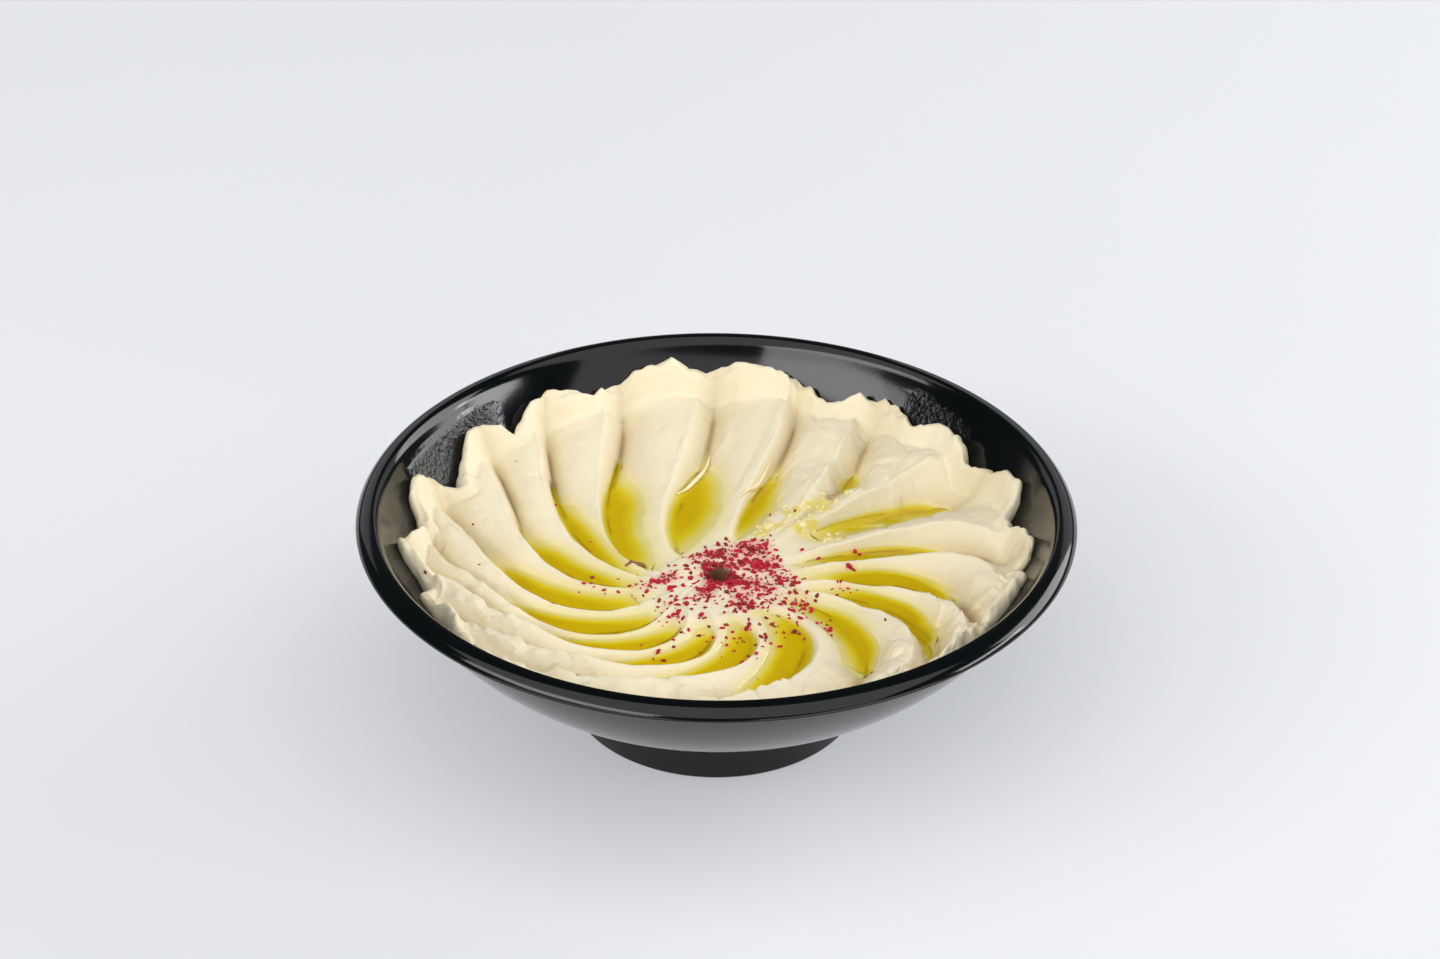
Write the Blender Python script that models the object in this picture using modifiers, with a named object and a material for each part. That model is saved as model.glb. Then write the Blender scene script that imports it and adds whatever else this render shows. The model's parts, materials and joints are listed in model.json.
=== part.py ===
"""Hummus served in a round black bowl.

The bowl is one turned piece on a foot ring, with a rolled lip. The hummus fills
it and is swirled with a spoon into overlapping petals that curl outwards from a
flat middle and end in lips pressed up the wall. Olive oil stands level in the
furrow between each two petals.

+Z is up, the origin is the middle of the foot's underside, and the guest sits
at -Y. Sizes are in millimetres, and a mesh is scaled to metres as it is made.
"""
import bpy
import numpy as np
from mathutils.bvhtree import BVHTree

MM = 0.001

# Bowl
RIM_RADIUS = 100.0
HEIGHT = 66.0
LIP_WIDTH = 5.5
LIP_BAND = 3.6
LIP_OVERHANG = 4.0
WALL_THICKNESS = 3.5
WALL_POINTS = 6
FOOT_RADIUS = 42.2
FOOT_HEIGHT = 15.0
FOOT_RING_WIDTH = 4.0
FOOT_RECESS = 11.0
FLOOR_HEIGHT = 17.5
BOWL_STEPS = 48

# Hummus
HUB_Y = -6.0
HUB_HEIGHT = 43.4
HUB_RADIUS = 15.0
SWIRL_RADIUS = 88.0
CROWN = ((0, 43.4), (20, 44.1), (32, 44.8), (45, 45.8), (62, 49.0), (76, 51.2), (88, 52.4))
FURROW_END_HEIGHT = 46.5
FURROW_END_RADIUS = 82.0
STEEPNESS = 0.55
FOLD_LEAD = 22.0
FOLD_BLUNT_DELAY = 14.0
FOLD_FADE = 24.0
LIP_THICKNESS = 5.4
LIP_LEAST = 0.45
LIP_DEPTH = 10.0
LIP_FADE = 6.0
EDGE_ROUNDING = 3.0
EDGE_THICKNESS = 2.2
LEAST_THICKNESS = 2.0
CONTACT_GAP = 0.4
HOLE_DEPTH = 4.6
HOLE_RING = 4.6
PLATEAU = (-5.0, -15.0)
PLATEAU_RADIUS = 19.0
PLATEAU_HEIGHT = 1.0
PLATEAU_FADE = 3.5
COLUMNS_PER_PETAL = 7
SHORT_COLUMNS = 2
TOP_RINGS = 16
UNDER_RINGS = 4

# Oil
OIL_LEVEL_MIDDLE = 43.2
OIL_LEVEL_LEAN = 1.25
OIL_DEPTH = 3.8
OIL_GAP = 0.4
OIL_EDGE = 0.2
OIL_SHARE = 0.88
OIL_ROWS = 8
DEEPEST_AT = 0.6
BLUNTEST = 0.8
BLUNT_SECTOR = (275, 90, 20)
BLUNT_SHIFT = 0.22

# One row for each spoon stroke, anticlockwise from +X: the angle in degrees of its furrow
# at each STROKE_RADII about the hub, the radii between which oil stands in it, how far
# across the next petal its ridge lies, from 0 to 1, and how wide its trough is.
STROKE_RADII = (25.0, 45.0, 65.0, 85.0)
STROKES = (
    (18, 17, 12, -2, 27, 70, 0.25, 2.4),
    (43, 40, 34, 26, 36, 79, 0.35, 1.0),
    (46, 49, 53, 57, 58, 71, 0.25, 0.95),
    (75, 75, 73, 74, 22, 66, 0.13, 0.95),
    (117, 101, 93, 90.5, 16, 67, 0.24, 0.95),
    (160, 134.5, 117.5, 109.5, 17, 68, 0.25, 0.95),
    (174, 152.5, 137.5, 126, 22, 66, 0.22, 0.95),
    (192, 175, 154, 141, 23, 59, 0.2, 1.0),
    (216, 200, 176, 160.5, 22, 66, 0.22, 1.2),
    (234, 220, 193, 173.5, 24, 65, 0.25, 1.35),
    (249, 237.5, 205, 183, 27, 63, 0.22, 1.4),
    (265, 257, 224, 200, 27, 62, 0.2, 1.6),
    (284, 276, 243, 218, 24, 60, 0.2, 1.7),
    (307, 301, 273, 245, 24, 63, 0.3, 1.3),
    (328, 323.5, 307, 282, 25, 69, 0.7, 0.6),
    (343, 342, 332, 310, 30, 77, 0.72, 1.8),
    (353, 356.5, 348.5, 332, 25, 71, 0.6, 2.2),
)

# The torn edge on the wall, anticlockwise: an angle and a radius from the bowl's axis at
# the corners of each lip and of each notch between two lips.
EDGE = (
    (0, 86.6), (4, 84.2), (8, 85.2), (9.5, 88), (12, 89.2), (16, 89.3), (21, 87.4), (28, 84.2),
    (31, 87), (34, 87.6), (40, 87), (46, 84.6), (49, 87), (54, 88), (59, 87), (64, 83),
    (69, 85.6), (75, 87.7), (79, 89.4), (86, 89.4), (92.5, 87.4), (96, 88.6), (99.5, 90.4), (106, 89.2),
    (112, 87.6), (117, 86), (121.5, 87.8), (126, 89.1), (130.5, 88.2), (134, 85.8), (137.5, 83.8), (139.3, 86.8),
    (143, 88.4), (147.5, 88.8), (151, 86.4), (156, 83.4), (158.8, 81.9), (161.4, 84.6), (163, 87.3), (168.5, 89.3),
    (172, 88.6), (175, 85.6), (178.4, 83.5), (182, 86), (187.5, 88.4), (190.5, 87.6), (193, 84.2), (197, 82.8),
    (202, 86.6), (206, 84.6), (209, 83.0), (214, 84.8), (222, 86), (231, 84.5), (242, 86.2), (253, 84.8),
    (266, 86.4), (279, 84.8), (291, 86.2), (303, 84.5), (313, 85.5), (324, 83.5), (332, 83.5), (338, 86),
    (344, 88), (349, 85), (351, 87.8), (355.5, 88.3), (360, 86.6),
)


def finish(name, red, green, blue, roughness, metallic=0.0):
    """A plain surface of one colour."""
    material = bpy.data.materials.new(name)
    material.use_nodes = True
    shader = material.node_tree.nodes["Principled BSDF"]
    shader.inputs["Base Color"].default_value = (red, green, blue, 1.0)
    shader.inputs["Roughness"].default_value = roughness
    shader.inputs["Metallic"].default_value = metallic
    return material


def add_object(name, points, faces, material):
    """Make a mesh object from points in millimetres and lists of point numbers."""
    mesh = bpy.data.meshes.new(name)
    mesh.from_pydata((np.asarray(points, float) * MM).tolist(), [], faces)
    mesh.shade_smooth()
    mesh.set_sharp_from_angle(angle=np.radians(40))
    mesh.materials.append(material)
    piece = bpy.data.objects.new(name, mesh)
    collection.objects.link(piece)
    return piece


def bezier(points, count):
    """Points along a quadratic curve from its first to its last control point."""
    first, middle, last = (np.array(point, float) for point in points)
    t = np.linspace(0, 1, count)[:, None]
    return (1 - t) ** 2 * first + 2 * t * (1 - t) * middle + t ** 2 * last


def smooth_curve(x, knots):
    """A smooth curve through (x, y) knots: cubic pieces with averaged slopes at the knots."""
    at = np.array([knot[0] for knot in knots], float)
    value = np.array([knot[1] for knot in knots], float)
    slope = np.gradient(value, at)
    x = np.clip(x, at[0], at[-1])
    i = np.clip(np.searchsorted(at, x) - 1, 0, len(at) - 2)
    step = at[i + 1] - at[i]
    t = (x - at[i]) / step
    return (value[i] * (1 + 2 * t) * (1 - t) ** 2 + value[i + 1] * t ** 2 * (3 - 2 * t)
            + step * t * (1 - t) * (slope[i] * (1 - t) - slope[i + 1] * t))


def smooth_step(x):
    """Rise from 0 to 1 with level ends as x goes from 0 to 1."""
    x = np.clip(x, 0, 1)
    return x * x * (3 - 2 * x)


# ---- Bowl: one turned wall with a rolled lip above and a hollow foot below

def outer_wall():
    """The convex wall outside, from under the lip down to the foot."""
    upper = bezier([(RIM_RADIUS - LIP_OVERHANG, HEIGHT - 4.2), (83.3, 37.6), (59.5, 23.2)], WALL_POINTS)
    lower = bezier([(59.5, 23.2), (51.0, 18.0), (FOOT_RADIUS + 0.4, FOOT_HEIGHT + 0.3)], 3)
    return np.concatenate([upper, lower[1:]])


def inner_wall():
    """The wall inside, a wall's thickness in from the outer one, from the floor to the lip."""
    outer = outer_wall()
    along = np.gradient(outer, axis=0)
    along /= np.linalg.norm(along, axis=1, keepdims=True)
    inward = np.stack([along[:, 1], -along[:, 0]], 1)
    offset = (outer + inward * WALL_THICKNESS)[::-1]
    shoulder = [RIM_RADIUS - LIP_WIDTH - 0.1, HEIGHT - 0.5]
    return np.concatenate([[[0, FLOOR_HEIGHT]], offset[:-1], [shoulder]])


def bowl_profile():
    """The whole section from the axis out over the lip and back to the axis underneath."""
    ring = FOOT_RADIUS - FOOT_RING_WIDTH
    parts = [
        inner_wall(),
        [[RIM_RADIUS - LIP_WIDTH + 0.9, HEIGHT]],
        bezier([(RIM_RADIUS - 3.6, HEIGHT - 0.14), (RIM_RADIUS - 1.2, HEIGHT - 0.5),
                (RIM_RADIUS, HEIGHT - 2.8)], 5),
        [[RIM_RADIUS - 0.2, HEIGHT - LIP_BAND], [RIM_RADIUS - LIP_OVERHANG + 0.8, HEIGHT - LIP_BAND - 0.4]],
        outer_wall(),
        [[FOOT_RADIUS, FOOT_HEIGHT - 1.5]],
        [[FOOT_RADIUS, 1.0], [FOOT_RADIUS - 0.8, 0.0], [ring + 0.6, 0.0], [ring, 0.8]],
        [[ring - 0.6, FOOT_RECESS - 1.5], [ring - 2.5, FOOT_RECESS], [0, FOOT_RECESS]],
    ]
    return np.concatenate([np.asarray(part, float) for part in parts])


def add_bowl():
    profile = bowl_profile()
    points = np.stack([profile[:, 0], np.zeros(len(profile)), profile[:, 1]], 1)
    mesh = bpy.data.meshes.new("bowl")
    edges = [(i, i + 1) for i in range(len(points) - 1)]
    mesh.from_pydata((points * MM).tolist(), edges, [])
    mesh.materials.append(finish("bowl_black", 0.006, 0.007, 0.008, 0.12))
    bowl = bpy.data.objects.new("bowl", mesh)
    collection.objects.link(bowl)
    turn = bowl.modifiers.new("Turned", "SCREW")
    turn.axis = "Z"
    turn.steps = turn.render_steps = BOWL_STEPS
    turn.use_merge_vertices = True
    turn.merge_threshold = 0.05 * MM
    turn.use_smooth_shade = True
    return bowl


def wall_height(radius):
    """Height of the wall's inside at a radius from the bowl's axis."""
    wall = inner_wall()
    return np.interp(radius, wall[:, 0], wall[:, 1])


def clearance(radius):
    """How far above the wall the hummus lies, for one contact gap square to the slope."""
    slope = (wall_height(radius + 0.5) - wall_height(radius - 0.5))
    return CONTACT_GAP * np.sqrt(1 + slope ** 2)


# ---- Hummus: a swirl of spoon strokes, one furrow for each, with a petal between furrows

def stroke_value(stroke, column):
    """One column of the strokes' table, for strokes counted on round the dish."""
    return np.array(STROKES, float)[np.asarray(stroke) % len(STROKES), column]


def furrow_angle(stroke, radius):
    """Angle of a stroke's furrow: the cubic through its angles at STROKE_RADII."""
    radius = np.clip(radius, HUB_RADIUS, SWIRL_RADIUS)
    angle = 360.0 * (np.asarray(stroke) // len(STROKES)) + np.zeros_like(radius)
    for k, own in enumerate(STROKE_RADII):
        weight = np.ones_like(radius)
        for other in STROKE_RADII:
            if other != own:
                weight = weight * (radius - other) / (own - other)
        angle = angle + weight * stroke_value(stroke, k)
    return angle


def oil_level(stroke):
    """The oil's level in a furrow, a little higher on the guest's side."""
    return OIL_LEVEL_MIDDLE - OIL_LEVEL_LEAN * np.sin(np.radians(stroke_value(stroke, 1)))


def sector(angle, centre, half_width, soft):
    """1 within a half width of a direction, in degrees, and falling smoothly to 0 over a soft width."""
    away = np.abs(np.mod(angle - centre + 180, 360) - 180)
    return smooth_step((half_width + soft - away) / soft)


def bluntness(stroke):
    """How bluntly a furrow's oil ends: most on the guest's side, where the spoon was lifted out."""
    return BLUNTEST * sector(stroke_value(stroke, 1), *BLUNT_SECTOR)


def furrow_height(stroke, radius):
    """Height along a furrow's bottom, below the oil's level between its two oil radii."""
    inner, outer = STROKES[stroke % len(STROKES)][4:6]
    level = oil_level(stroke)
    deepest = DEEPEST_AT + BLUNT_SHIFT * bluntness(stroke)
    knots = [(0, HUB_HEIGHT), (inner - 4, max(HUB_HEIGHT, level + 0.5)), (inner, level),
             (0.72 * inner + 0.28 * outer, level - 0.9 * OIL_DEPTH),
             (inner + deepest * (outer - inner), level - OIL_DEPTH),
             (outer, level), (FURROW_END_RADIUS, FURROW_END_HEIGHT), (100, FURROW_END_HEIGHT + 2)]
    return smooth_curve(radius, knots)


def furrow_heights(stroke, radius):
    """The height along each stroke's furrow, for arrays of strokes and radii."""
    height = np.zeros_like(radius)
    for number in range(len(STROKES)):
        height = np.where(stroke % len(STROKES) == number, furrow_height(number, radius), height)
    return height


def crest(across, radius, petal):
    """Height across a petal from 0 in either furrow to 1 on its ridge, which lies nearer one of them.

    Near the hub the short side is a bank and the long side a soft slope into a flat trough.
    Further out both sides meet the furrows in sharp creases, and the long side bulges.
    """
    ridge_at = stroke_value(petal, 6)
    owner = petal + (across > ridge_at)
    fold_start = stroke_value(owner, 5) - FOLD_LEAD + FOLD_BLUNT_DELAY * bluntness(owner)
    outward = smooth_step((radius - fold_start) / FOLD_FADE)
    short_width = np.minimum(ridge_at, 1 - ridge_at)
    from_short = np.where(ridge_at > 0.5, 1 - across, across)
    on_short = from_short < short_width
    short = np.clip(from_short / short_width, 0, 1)
    long = np.clip((1 - from_short) / (1 - short_width), 0, 1)
    trough = np.where(on_short, short ** 1.2, smooth_step(long) ** stroke_value(owner, 7))
    fold = np.where(on_short, short ** 0.95, 1 - (1 - long) ** 2.4)
    return trough + (fold - trough) * outward


def edge_radius(angle):
    """Radius from the bowl's axis at which the hummus ends on the wall."""
    corners = np.array(EDGE)
    return np.interp(np.mod(angle, 360), corners[:, 0], corners[:, 1])


def reach(angle):
    """Distance from the hub to the hummus's edge in one direction."""
    turn = np.radians(angle)
    from_axis = np.arctan2(HUB_Y + SWIRL_RADIUS * np.sin(turn), SWIRL_RADIUS * np.cos(turn))
    towards = HUB_Y * np.sin(turn)
    return -towards + np.sqrt(towards ** 2 + edge_radius(np.degrees(from_axis)) ** 2 - HUB_Y ** 2)


def hummus_top(petal, across, out):
    """Points on the top for a petal's number, 0..1 across it and 0..1 out from the hub.

    The height is the higher of the petals and of a lip of even thickness on the wall, and
    the thickness over the wall is rounded off towards the torn edge.
    """
    swirl = out * SWIRL_RADIUS
    first, second = furrow_angle(petal, swirl), furrow_angle(petal + 1, swirl)
    angle = first + (second - first) * across
    radius = swirl + (reach(angle) - SWIRL_RADIUS) * out ** 7
    turn = np.radians(angle)
    x, y = radius * np.cos(turn), HUB_Y + radius * np.sin(turn)
    low = furrow_heights(petal, swirl) * (1 - across) + furrow_heights(petal + 1, swirl) * across
    level = oil_level(petal) * (1 - across) + oil_level(petal + 1) * across
    lean = (level - OIL_LEVEL_MIDDLE) * smooth_step((swirl - 6) / 20) * smooth_step((85 - swirl) / 25)
    rise = np.maximum(smooth_curve(swirl, CROWN) + lean - low, 0.3)
    width = swirl * np.radians(second - first)
    profile = crest(across, swirl, petal)
    height = low + rise * np.tanh(STEEPNESS * width / rise) * profile
    from_plateau = np.hypot(x - PLATEAU[0], y - PLATEAU[1])
    height = height + PLATEAU_HEIGHT * smooth_step((PLATEAU_RADIUS - from_plateau) / PLATEAU_FADE)
    wall = wall_height(np.hypot(x, y))
    inside = reach(angle) - radius
    thickness = LIP_THICKNESS * (LIP_LEAST + (1 - LIP_LEAST) * profile)
    height = np.maximum(height, wall + thickness * smooth_step((LIP_DEPTH - inside) / LIP_FADE))
    rounded = np.sqrt(1 - np.clip(1 - inside / EDGE_ROUNDING, 0, 1) ** 2)
    over = np.maximum(height - wall, LEAST_THICKNESS) * rounded
    return np.stack([x, y, wall + np.maximum(over, EDGE_THICKNESS)], -1)


def ring_faces(rings, columns):
    """Triangles between closed rings of points, listed from the middle outwards, face up."""
    faces = []
    for ring in range(rings - 1):
        for i in range(columns):
            a, b = ring * columns + i, ring * columns + (i + 1) % columns
            faces += [[a, a + columns, b + columns], [a, b + columns, b]]
    return faces


def add_hummus():
    """Make the hummus and return its facets for the oil to lie on."""
    petals = len(STROKES)
    across = []
    for row in STROKES:
        climbing = COLUMNS_PER_PETAL - SHORT_COLUMNS if row[6] > 0.5 else SHORT_COLUMNS
        climb = np.linspace(0, row[6], climbing, endpoint=False)
        fall = np.linspace(row[6], 1, COLUMNS_PER_PETAL - climbing, endpoint=False)
        across = np.concatenate([across, climb, fall])
    petal = np.repeat(np.arange(petals), COLUMNS_PER_PETAL)
    columns = len(across)
    out = np.append(HOLE_RING / SWIRL_RADIUS, np.linspace(0, 1, TOP_RINGS + 1)[1:] ** 0.85)
    top = [hummus_top(petal, across, np.full(columns, ring)) for ring in out]
    edge = top[-1]
    under = []
    for share in np.linspace(1, 0, UNDER_RINGS + 1)[:-1]:
        level = edge * [share, share, 0]
        radius = np.hypot(level[:, 0], level[:, 1])
        level[:, 2] = wall_height(radius) + clearance(radius)
        under.append(level)
    points = np.concatenate(top + under)
    hub, base = len(points), len(points) + 1
    middle = [[0, HUB_Y, HUB_HEIGHT - HOLE_DEPTH], [0, 0, FLOOR_HEIGHT + CONTACT_GAP]]
    points = np.concatenate([points, middle])
    faces = ring_faces(len(top) + len(under), columns)
    last = hub - columns
    for i in range(columns):
        faces += [[hub, i, (i + 1) % columns], [base, last + (i + 1) % columns, last + i]]
    add_object("hummus", points, faces, finish("hummus_cream", 0.80, 0.70, 0.48, 0.45))
    return BVHTree.FromPolygons(points.tolist(), faces)


# ---- Oil: a level pool in each furrow, thin at its edges

def height_at(tree, x, y):
    """Height of the hummus's facets straight below a point."""
    return tree.ray_cast((x, y, RIM_RADIUS), (0, 0, -1))[0].z


def waterline(tree, stroke, side, out, level):
    """The oil's edge beside a furrow: how far across the petal on the +1 or -1 side of it."""
    for step in np.linspace(0, 0.6, 61):
        x, y, _ = furrow_side(stroke, side * step, out)
        if height_at(tree, x, y) + OIL_GAP > level:
            return side * step
    return side * 0.6


def pool_end(tree, stroke, radii, level):
    """The first of the radii, as a share of the swirl's, at which a furrow is deep enough for oil."""
    for radius in radii:
        x, y, _ = furrow_side(stroke, 0.0, radius / SWIRL_RADIUS)
        if height_at(tree, x, y) + OIL_GAP + OIL_EDGE < level:
            break
    return radius / SWIRL_RADIUS


def furrow_side(stroke, across, out):
    """A point on the top beside a furrow, on the petal before it where across is below 0."""
    petal = stroke if across >= 0 else (stroke - 1) % len(STROKES)
    return hummus_top(np.array(petal), np.array(across % 1.0), np.array(out))


def add_oil(stroke, tree, material):
    """A closed pool along one furrow, which ends in a point at either end."""
    inner, outer = STROKES[stroke][4:6]
    level = oil_level(stroke)
    radii = np.linspace(inner, outer, 81)
    ends = np.array([pool_end(tree, stroke, radii, level), pool_end(tree, stroke, radii[::-1], level)])
    surface, floor = [], []
    for out in np.linspace(ends[0], ends[1], OIL_ROWS + 2)[1:-1]:
        left, right = (waterline(tree, stroke, side, out, level) for side in (-1, 1))
        for across in (left * OIL_SHARE, 0.0, right * OIL_SHARE):
            x, y, _ = furrow_side(stroke, across, out)
            surface.append([x, y, level])
            floor.append([x, y, min(height_at(tree, x, y) + OIL_GAP, level - OIL_EDGE)])
    tips = [furrow_side(stroke, 0.0, end) for end in ends]
    points = np.array(surface + floor + [[x, y, level - OIL_EDGE / 2] for x, y, _ in tips])
    columns = len(surface) // OIL_ROWS
    count = OIL_ROWS * columns
    faces = []
    for row in range(OIL_ROWS - 1):
        for i in range(columns - 1):
            a = row * columns + i
            faces += [[a, a + columns, a + columns + 1], [a, a + columns + 1, a + 1]]
            b = a + count
            faces += [[b, b + columns + 1, b + columns], [b, b + 1, b + columns + 1]]
        for a, flip in ((row * columns, False), (row * columns + columns - 1, True)):
            side = [a, a + count, a + count + columns, a + columns]
            faces.append(side[::-1] if flip else side)
    for tip, a, flip in ((2 * count, 0, False), (2 * count + 1, count - columns, True)):
        loop = list(range(a, a + columns)) + list(range(a + count + columns - 1, a + count - 1, -1))
        for i, j in zip(loop, loop[1:] + loop[:1]):
            faces.append([tip, j, i] if flip else [tip, i, j])
    return add_object(f"oil_{stroke + 1:02d}", points, faces, material)


for item in list(bpy.data.objects):
    bpy.data.objects.remove(item, do_unlink=True)
collection = bpy.data.collections.new("hummus_bowl")
bpy.context.scene.collection.children.link(collection)
add_bowl()
hummus_facets = add_hummus()
oil_finish = finish("olive_oil", 0.55, 0.40, 0.02, 0.08)
for number in range(len(STROKES)):
    add_oil(number, hummus_facets, oil_finish)
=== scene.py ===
"""Hummus in a round black bowl, swirled with a spoon and dressed with olive oil and sumac.

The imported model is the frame. The sections follow the dish as it is laid: the camera
and lights, the table, the bowl, the hummus, the oil in its furrows, the sumac, the drops
of oil behind the hub, and last two skins of paste and a curl of husk.
The studio is laid out in metres. The dish's own lengths are in millimetres up to the
line that makes each mesh, which scales them.
"""
import json
import math
import bpy
import numpy as np
from mathutils import Matrix, Vector
from mathutils.bvhtree import BVHTree

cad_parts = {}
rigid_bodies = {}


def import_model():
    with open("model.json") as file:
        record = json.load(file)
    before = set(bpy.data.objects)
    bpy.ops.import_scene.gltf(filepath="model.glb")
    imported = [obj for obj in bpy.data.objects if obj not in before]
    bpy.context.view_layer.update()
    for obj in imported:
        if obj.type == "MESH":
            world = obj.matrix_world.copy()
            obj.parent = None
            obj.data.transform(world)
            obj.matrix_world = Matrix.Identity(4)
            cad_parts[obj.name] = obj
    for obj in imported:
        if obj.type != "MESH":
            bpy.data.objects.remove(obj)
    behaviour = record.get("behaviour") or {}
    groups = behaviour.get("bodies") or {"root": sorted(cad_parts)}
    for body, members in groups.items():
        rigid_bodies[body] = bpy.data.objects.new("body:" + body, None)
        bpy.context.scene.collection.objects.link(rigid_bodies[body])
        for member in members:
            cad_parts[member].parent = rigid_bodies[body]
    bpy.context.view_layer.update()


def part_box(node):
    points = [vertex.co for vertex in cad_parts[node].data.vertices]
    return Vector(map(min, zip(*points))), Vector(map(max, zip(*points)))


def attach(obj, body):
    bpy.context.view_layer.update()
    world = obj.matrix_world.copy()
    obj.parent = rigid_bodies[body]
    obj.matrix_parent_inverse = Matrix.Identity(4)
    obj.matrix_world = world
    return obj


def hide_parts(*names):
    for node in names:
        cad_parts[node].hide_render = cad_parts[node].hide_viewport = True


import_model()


# ---- Camera
# A long lens looks down at the dish from the guest's side, far enough off that the
# rim's near and far edges keep nearly the same scale. It leans by half a degree.
CAMERA_AIM = Vector((0.00086, 0.0, 0.0717))
CAMERA_DISTANCE = 0.700
CAMERA_ELEVATION = math.radians(31.44)
CAMERA_LEAN = math.radians(0.525)
CAMERA_LENS = 63.1
SENSOR_WIDTH = 36.0

lens = bpy.data.cameras.new("camera")
lens.sensor_width = SENSOR_WIDTH
lens.lens = CAMERA_LENS
lens.clip_start = 0.01
camera = bpy.data.objects.new("camera", lens)
bpy.context.scene.collection.objects.link(camera)
bpy.context.scene.camera = camera
back = Vector((0, -math.cos(CAMERA_ELEVATION), math.sin(CAMERA_ELEVATION)))
camera.matrix_world = (
    Matrix.Translation(CAMERA_AIM + CAMERA_DISTANCE * back)
    @ Matrix.Rotation(math.pi / 2 - CAMERA_ELEVATION, 4, "X")
    @ Matrix.Rotation(CAMERA_LEAN, 4, "Z")
)


# ---- Lights
# A dark studio: a wide softbox on the left in front, a smaller one behind on the right, a pale
# ceiling, a thin strip low on the right, fills at both front corners and two dim panels behind.
# The bowl's black wall mirrors the first two, and its lip the ceiling, strip and panels.
LIGHTS_AIM = Vector((0, 0, 0.05))
STUDIO_GLOW = 0.07


def add_softbox(name, direction, distance, width, height, radiance, colour):
    """A rectangular area light that faces the dish from a direction, with an even radiance."""
    light = bpy.data.lights.new(name, "AREA")
    light.shape = "RECTANGLE"
    light.size = width
    light.size_y = height
    light.energy = radiance * math.pi * width * height
    light.color = colour
    softbox = bpy.data.objects.new(name, light)
    bpy.context.scene.collection.objects.link(softbox)
    away = Vector(direction).normalized()
    softbox.location = away * distance + LIGHTS_AIM
    softbox.rotation_euler = away.to_track_quat("Z", "Y").to_euler()


# Each light: its direction, distance, width and height in metres, radiance and colour.
add_softbox("key_softbox", (-0.64, -0.56, 0.52), 2.6, 2.7, 0.6, 4.4, (1.0, 0.995, 0.985))
add_softbox("back_softbox", (0.82, 0.40, 0.36), 2.4, 1.6, 1.1, 4.7, (0.98, 0.99, 1.0))
add_softbox("ceiling", (-0.05, -0.48, 1.0), 3.0, 7.6, 3.9, 1.24, (1.0, 0.99, 0.985))
add_softbox("rim_strip", (0.97, -0.05, 0.30), 2.6, 1.2, 0.3, 9.0, (0.97, 0.985, 1.0))
for side, radiance in ((-1, 1.9), (1, 2.9)):
    add_softbox("fill_softbox", (0.62 * side, -0.78, 0.13), 3.0, 3.0, 0.8, radiance, (1.0, 0.995, 0.98))
    add_softbox("backdrop", (0.41 * side, 0.84, 0.33), 3.0, 1.9, 1.3, 0.6, (0.93, 0.965, 1.0))
world = bpy.data.worlds.new("studio")
world.use_nodes = True
world.node_tree.nodes["Background"].inputs["Color"].default_value = (0.9, 0.95, 1.0, 1.0)
world.node_tree.nodes["Background"].inputs["Strength"].default_value = STUDIO_GLOW
bpy.context.scene.world = world
bpy.context.scene.view_settings.view_transform = "Standard"


# ---- Table
# A wide sheet of smooth white board, faintly cool, that the bowl's foot ring stands on. It
# glows a little, as a white table in a bright studio does.
class Wire:
    """One output of a shader node. Sums and products with wires or numbers add Math nodes."""

    def __init__(self, node, output=0):
        self.tree = node.id_data
        self.socket = node.outputs[output]

    @classmethod
    def node(cls, tree, kind, settings=None, sockets=None, output=0):
        """Add a node of a kind: its settings first, then a value or a wire for each socket."""
        node = tree.nodes.new(kind)
        for name, value in (settings or {}).items():
            setattr(node, name, value)
        for name, value in (sockets or {}).items():
            if isinstance(value, Wire):
                tree.links.new(value.socket, node.inputs[name])
            else:
                node.inputs[name].default_value = value
        return cls(node, output)

    def math(self, operation, *values):
        """A Math node on this wire and then the other values."""
        sockets = dict(enumerate((self,) + values))
        return Wire.node(self.tree, "ShaderNodeMath", {"operation": operation}, sockets)

    def __add__(self, other):
        return self.math("ADD", other)

    def __mul__(self, other):
        return self.math("MULTIPLY", other)

    def __sub__(self, other):
        return self.math("SUBTRACT", other)

    def __rsub__(self, other):
        return self.math("MULTIPLY_ADD", -1.0, other)

    __radd__ = __add__
    __rmul__ = __mul__

    def between(self, low, high):
        """A smooth rise from 0 at low to 1 at high, or a fall where low is the larger."""
        settings = {"interpolation_type": "SMOOTHSTEP"}
        lowest, highest = (low, high) if low < high else (high, low)
        sockets = {0: self, 1: lowest, 2: highest, 3: float(low > high), 4: float(low < high)}
        return Wire.node(self.tree, "ShaderNodeMapRange", settings, sockets)


def shade(red, green, blue):
    """A colour for a shader from its usual 0 to 255 values."""
    levels = [value / 255 for value in (red, green, blue)]
    return tuple(v / 12.92 if v <= 0.04045 else ((v + 0.055) / 1.055) ** 2.4 for v in levels) + (1.0,)


def mix(factor, first, second):
    """A blend of two colours, by a wire from 0 to 1."""
    sockets = {0: factor, 6: first, 7: second}
    return Wire.node(factor.tree, "ShaderNodeMix", {"data_type": "RGBA"}, sockets, output=2)


def new_finish(name, **fixed):
    """A material whose Principled shader has fixed values on the sockets named."""
    material = bpy.data.materials.new(name)
    material.use_nodes = True
    tree = material.node_tree
    shader = tree.nodes["Principled BSDF"]
    for socket, value in fixed.items():
        shader.inputs[socket.replace("_", " ")].default_value = value
    return material, tree, shader


def feed(shader, socket, wire):
    """Link a wire to one socket of a shader."""
    shader.id_data.links.new(wire.socket, shader.inputs[socket])


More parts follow.
